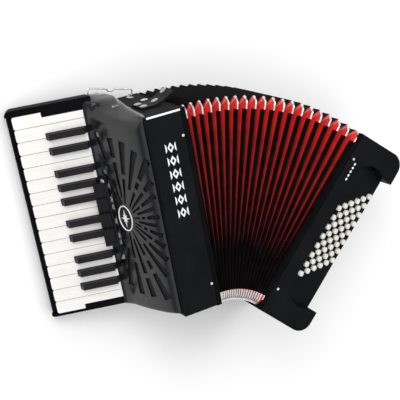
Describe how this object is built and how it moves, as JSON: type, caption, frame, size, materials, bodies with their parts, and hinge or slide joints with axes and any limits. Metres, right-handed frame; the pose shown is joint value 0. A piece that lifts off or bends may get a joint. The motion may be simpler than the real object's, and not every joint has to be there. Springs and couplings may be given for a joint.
{
  "type": "piano accordion",
  "caption": "Piano accordion lying on its back with its bellows fanned open: sloping piano keyboard, slotted treble cover, pleated bellows and bass side with studded button board.",
  "frame": {"origin": "on the surface that the instrument lies on, under the middle of its box", "axes": "+X from the keyboard to the bass side, +Y up along the keyboard towards the low notes, +Z from the player to the listener"},
  "size_m": [0.5644, 0.4301, 0.1759],
  "materials": {
    "black_lacquer": "satin black lacquer on wood",
    "black_plastic": "satin black moulded plastic",
    "black_wood": "black stained wood",
    "spruce": "bare planed wood",
    "black_cloth": "fine black mesh",
    "badge": "enamelled oval plate with a bright rim",
    "bright_chrome": "polished chrome",
    "steel": "drawn steel rod",
    "black_leather": "grained black leather",
    "bellows_card": "red card and black cloth tape",
    "ivory_plastic": "glossy ivory white",
    "ebony_plastic": "glossy black",
    "button_ivory": "glossy ivory",
    "rubber": "matte"
  },
  "bodies": {
    "treble_side": {"treble_case": "black_lacquer", "treble_trim_strip": "bright_chrome", "treble_bellows_frame": "black_wood", "treble_bellows_pins": "bright_chrome", "treble_soundboard": "spruce", "treble_reed_blocks": "spruce", "treble_grille": "black_plastic", "grille_cloth": "black_cloth", "grille_badge": "badge", "register_plate": "black_plastic", "strap_brackets": "bright_chrome", "top_bellows_strap": "black_leather", "keyboard_bed": "black_lacquer", "key_axle": "steel", "bellows_folds": "bellows_card"},
    "bass_side": {"bass_case": "black_lacquer", "bass_bellows_frame": "black_wood", "bass_bellows_pins": "bright_chrome", "bass_button_board": "black_plastic", "bass_reed_blocks": "spruce", "hand_strap": "black_leather", "bass_feet": "rubber"},
    "white_key_01": {"white_key_01": "ivory_plastic"},
    "white_key_02": {"white_key_02": "ivory_plastic"},
    "white_key_03": {"white_key_03": "ivory_plastic"},
    "white_key_04": {"white_key_04": "ivory_plastic"},
    "white_key_05": {"white_key_05": "ivory_plastic"},
    "white_key_06": {"white_key_06": "ivory_plastic"},
    "white_key_07": {"white_key_07": "ivory_plastic"},
    "white_key_08": {"white_key_08": "ivory_plastic"},
    "white_key_09": {"white_key_09": "ivory_plastic"},
    "white_key_10": {"white_key_10": "ivory_plastic"},
    "white_key_11": {"white_key_11": "ivory_plastic"},
    "white_key_12": {"white_key_12": "ivory_plastic"},
    "white_key_13": {"white_key_13": "ivory_plastic"},
    "white_key_14": {"white_key_14": "ivory_plastic"},
    "white_key_15": {"white_key_15": "ivory_plastic"},
    "white_key_16": {"white_key_16": "ivory_plastic"},
    "black_key_01": {"black_key_01": "ebony_plastic"},
    "black_key_02": {"black_key_02": "ebony_plastic"},
    "black_key_03": {"black_key_03": "ebony_plastic"},
    "black_key_04": {"black_key_04": "ebony_plastic"},
    "black_key_05": {"black_key_05": "ebony_plastic"},
    "black_key_06": {"black_key_06": "ebony_plastic"},
    "black_key_07": {"black_key_07": "ebony_plastic"},
    "black_key_08": {"black_key_08": "ebony_plastic"},
    "black_key_09": {"black_key_09": "ebony_plastic"},
    "black_key_10": {"black_key_10": "ebony_plastic"},
    "register_switch_1": {"register_switch_1": "black_plastic"},
    "register_switch_2": {"register_switch_2": "black_plastic"},
    "register_switch_3": {"register_switch_3": "black_plastic"},
    "strap_bail": {"strap_bail": "bright_chrome"},
    "bass_button_column_1": {"bass_button_column_1": "button_ivory"},
    "bass_button_column_2": {"bass_button_column_2": "button_ivory"},
    "bass_button_column_3": {"bass_button_column_3": "button_ivory"},
    "bass_button_column_4": {"bass_button_column_4": "button_ivory"},
    "bass_button_column_5": {"bass_button_column_5": "button_ivory"},
    "bass_button_column_6": {"bass_button_column_6": "button_ivory"},
    "adjuster_wheel": {"adjuster_wheel": "bright_chrome"},
    "air_button": {"air_button": "button_ivory"}
  },
  "joints": [
    {"name": "bellows_fan", "type": "hinge", "parent": "treble_side", "child": "bass_side", "pos_m": [-0.03725, -0.1312, 0], "axis": [0, 0, 1], "range_deg": [-10, 46], "deforming": ["bellows_folds"]},
    {"name": "white_key_01_press", "type": "hinge", "parent": "treble_side", "child": "white_key_01", "pos_m": [-0.162, 0.03868, 0.06023], "axis": [0, -1, 0], "range_deg": [0, 2.2], "stiffness_Nm_per_rad": 0.8, "springref_deg": -5.73},
    {"name": "white_key_02_press", "type": "hinge", "parent": "treble_side", "child": "white_key_02", "pos_m": [-0.162, 0.03868, 0.06023], "axis": [0, -1, 0], "range_deg": [0, 2.2], "stiffness_Nm_per_rad": 0.8, "springref_deg": -5.73},
    {"name": "white_key_03_press", "type": "hinge", "parent": "treble_side", "child": "white_key_03", "pos_m": [-0.162, 0.03868, 0.06023], "axis": [0, -1, 0], "range_deg": [0, 2.2], "stiffness_Nm_per_rad": 0.8, "springref_deg": -5.73},
    {"name": "white_key_04_press", "type": "hinge", "parent": "treble_side", "child": "white_key_04", "pos_m": [-0.162, 0.03868, 0.06023], "axis": [0, -1, 0], "range_deg": [0, 2.2], "stiffness_Nm_per_rad": 0.8, "springref_deg": -5.73},
    {"name": "white_key_05_press", "type": "hinge", "parent": "treble_side", "child": "white_key_05", "pos_m": [-0.162, 0.03868, 0.06023], "axis": [0, -1, 0], "range_deg": [0, 2.2], "stiffness_Nm_per_rad": 0.8, "springref_deg": -5.73},
    {"name": "white_key_06_press", "type": "hinge", "parent": "treble_side", "child": "white_key_06", "pos_m": [-0.162, 0.03868, 0.06023], "axis": [0, -1, 0], "range_deg": [0, 2.2], "stiffness_Nm_per_rad": 0.8, "springref_deg": -5.73},
    {"name": "white_key_07_press", "type": "hinge", "parent": "treble_side", "child": "white_key_07", "pos_m": [-0.162, 0.03868, 0.06023], "axis": [0, -1, 0], "range_deg": [0, 2.2], "stiffness_Nm_per_rad": 0.8, "springref_deg": -5.73},
    {"name": "white_key_08_press", "type": "hinge", "parent": "treble_side", "child": "white_key_08", "pos_m": [-0.162, 0.03868, 0.06023], "axis": [0, -1, 0], "range_deg": [0, 2.2], "stiffness_Nm_per_rad": 0.8, "springref_deg": -5.73},
    {"name": "white_key_09_press", "type": "hinge", "parent": "treble_side", "child": "white_key_09", "pos_m": [-0.162, 0.03868, 0.06023], "axis": [0, -1, 0], "range_deg": [0, 2.2], "stiffness_Nm_per_rad": 0.8, "springref_deg": -5.73},
    {"name": "white_key_10_press", "type": "hinge", "parent": "treble_side", "child": "white_key_10", "pos_m": [-0.162, 0.03868, 0.06023], "axis": [0, -1, 0], "range_deg": [0, 2.2], "stiffness_Nm_per_rad": 0.8, "springref_deg": -5.73},
    {"name": "white_key_11_press", "type": "hinge", "parent": "treble_side", "child": "white_key_11", "pos_m": [-0.162, 0.03868, 0.06023], "axis": [0, -1, 0], "range_deg": [0, 2.2], "stiffness_Nm_per_rad": 0.8, "springref_deg": -5.73},
    {"name": "white_key_12_press", "type": "hinge", "parent": "treble_side", "child": "white_key_12", "pos_m": [-0.162, 0.03868, 0.06023], "axis": [0, -1, 0], "range_deg": [0, 2.2], "stiffness_Nm_per_rad": 0.8, "springref_deg": -5.73},
    {"name": "white_key_13_press", "type": "hinge", "parent": "treble_side", "child": "white_key_13", "pos_m": [-0.162, 0.03868, 0.06023], "axis": [0, -1, 0], "range_deg": [0, 2.2], "stiffness_Nm_per_rad": 0.8, "springref_deg": -5.73},
    {"name": "white_key_14_press", "type": "hinge", "parent": "treble_side", "child": "white_key_14", "pos_m": [-0.162, 0.03868, 0.06023], "axis": [0, -1, 0], "range_deg": [0, 2.2], "stiffness_Nm_per_rad": 0.8, "springref_deg": -5.73},
    {"name": "white_key_15_press", "type": "hinge", "parent": "treble_side", "child": "white_key_15", "pos_m": [-0.162, 0.03868, 0.06023], "axis": [0, -1, 0], "range_deg": [0, 2.2], "stiffness_Nm_per_rad": 0.8, "springref_deg": -5.73},
    {"name": "white_key_16_press", "type": "hinge", "parent": "treble_side", "child": "white_key_16", "pos_m": [-0.162, 0.03868, 0.06023], "axis": [0, -1, 0], "range_deg": [0, 2.2], "stiffness_Nm_per_rad": 0.8, "springref_deg": -5.73},
    {"name": "black_key_01_press", "type": "hinge", "parent": "treble_side", "child": "black_key_01", "pos_m": [-0.162, 0.03868, 0.06023], "axis": [0, -1, 0], "range_deg": [0, 2.2], "stiffness_Nm_per_rad": 0.8, "springref_deg": -5.73},
    {"name": "black_key_02_press", "type": "hinge", "parent": "treble_side", "child": "black_key_02", "pos_m": [-0.162, 0.03868, 0.06023], "axis": [0, -1, 0], "range_deg": [0, 2.2], "stiffness_Nm_per_rad": 0.8, "springref_deg": -5.73},
    {"name": "black_key_03_press", "type": "hinge", "parent": "treble_side", "child": "black_key_03", "pos_m": [-0.162, 0.03868, 0.06023], "axis": [0, -1, 0], "range_deg": [0, 2.2], "stiffness_Nm_per_rad": 0.8, "springref_deg": -5.73},
    {"name": "black_key_04_press", "type": "hinge", "parent": "treble_side", "child": "black_key_04", "pos_m": [-0.162, 0.03868, 0.06023], "axis": [0, -1, 0], "range_deg": [0, 2.2], "stiffness_Nm_per_rad": 0.8, "springref_deg": -5.73},
    {"name": "black_key_05_press", "type": "hinge", "parent": "treble_side", "child": "black_key_05", "pos_m": [-0.162, 0.03868, 0.06023], "axis": [0, -1, 0], "range_deg": [0, 2.2], "stiffness_Nm_per_rad": 0.8, "springref_deg": -5.73},
    {"name": "black_key_06_press", "type": "hinge", "parent": "treble_side", "child": "black_key_06", "pos_m": [-0.162, 0.03868, 0.06023], "axis": [0, -1, 0], "range_deg": [0, 2.2], "stiffness_Nm_per_rad": 0.8, "springref_deg": -5.73},
    {"name": "black_key_07_press", "type": "hinge", "parent": "treble_side", "child": "black_key_07", "pos_m": [-0.162, 0.03868, 0.06023], "axis": [0, -1, 0], "range_deg": [0, 2.2], "stiffness_Nm_per_rad": 0.8, "springref_deg": -5.73},
    {"name": "black_key_08_press", "type": "hinge", "parent": "treble_side", "child": "black_key_08", "pos_m": [-0.162, 0.03868, 0.06023], "axis": [0, -1, 0], "range_deg": [0, 2.2], "stiffness_Nm_per_rad": 0.8, "springref_deg": -5.73},
    {"name": "black_key_09_press", "type": "hinge", "parent": "treble_side", "child": "black_key_09", "pos_m": [-0.162, 0.03868, 0.06023], "axis": [0, -1, 0], "range_deg": [0, 2.2], "stiffness_Nm_per_rad": 0.8, "springref_deg": -5.73},
    {"name": "black_key_10_press", "type": "hinge", "parent": "treble_side", "child": "black_key_10", "pos_m": [-0.162, 0.03868, 0.06023], "axis": [0, -1, 0], "range_deg": [0, 2.2], "stiffness_Nm_per_rad": 0.8, "springref_deg": -5.73},
    {"name": "register_switch_1_rock", "type": "hinge", "parent": "treble_side", "child": "register_switch_1", "pos_m": [-0.18242, 0.00133, 0.07532], "axis": [0, 1, 0], "range_deg": [-8, 8]},
    {"name": "register_switch_2_rock", "type": "hinge", "parent": "treble_side", "child": "register_switch_2", "pos_m": [-0.18242, 0.02533, 0.07532], "axis": [0, 1, 0], "range_deg": [-8, 8]},
    {"name": "register_switch_3_rock", "type": "hinge", "parent": "treble_side", "child": "register_switch_3", "pos_m": [-0.18242, 0.04933, 0.07532], "axis": [0, 1, 0], "range_deg": [-8, 8]},
    {"name": "strap_bail_fold", "type": "hinge", "parent": "treble_side", "child": "strap_bail", "pos_m": [-0.15325, 0.20383, 0.032], "axis": [0.9581, -0.2665, -0.1048], "range_deg": [-70, 70]},
    {"name": "bass_button_column_1_press", "type": "slide", "parent": "bass_side", "child": "bass_button_column_1", "axis": [-0.2433, 0.2519, -0.9367], "range_m": [0, 0.004], "stiffness_N_per_m": 200, "springref_m": -0.008},
    {"name": "bass_button_column_2_press", "type": "slide", "parent": "bass_side", "child": "bass_button_column_2", "axis": [-0.2433, 0.2519, -0.9367], "range_m": [0, 0.004], "stiffness_N_per_m": 200, "springref_m": -0.008},
    {"name": "bass_button_column_3_press", "type": "slide", "parent": "bass_side", "child": "bass_button_column_3", "axis": [-0.2433, 0.2519, -0.9367], "range_m": [0, 0.004], "stiffness_N_per_m": 200, "springref_m": -0.008},
    {"name": "bass_button_column_4_press", "type": "slide", "parent": "bass_side", "child": "bass_button_column_4", "axis": [-0.2433, 0.2519, -0.9367], "range_m": [0, 0.004], "stiffness_N_per_m": 200, "springref_m": -0.008},
    {"name": "bass_button_column_5_press", "type": "slide", "parent": "bass_side", "child": "bass_button_column_5", "axis": [-0.2433, 0.2519, -0.9367], "range_m": [0, 0.004], "stiffness_N_per_m": 200, "springref_m": -0.008},
    {"name": "bass_button_column_6_press", "type": "slide", "parent": "bass_side", "child": "bass_button_column_6", "axis": [-0.2433, 0.2519, -0.9367], "range_m": [0, 0.004], "stiffness_N_per_m": 200, "springref_m": -0.008},
    {"name": "adjuster_wheel_turn", "type": "hinge", "parent": "bass_side", "child": "adjuster_wheel", "pos_m": [0.2663, 0.01875, 0.049], "axis": [0.7193, 0.6947, 0], "continuous": true},
    {"name": "air_button_press", "type": "slide", "parent": "bass_side", "child": "air_button", "axis": [-0.6947, 0.7193, 0], "range_m": [0, 0.004], "stiffness_N_per_m": 250, "springref_m": -0.008}
  ]
}
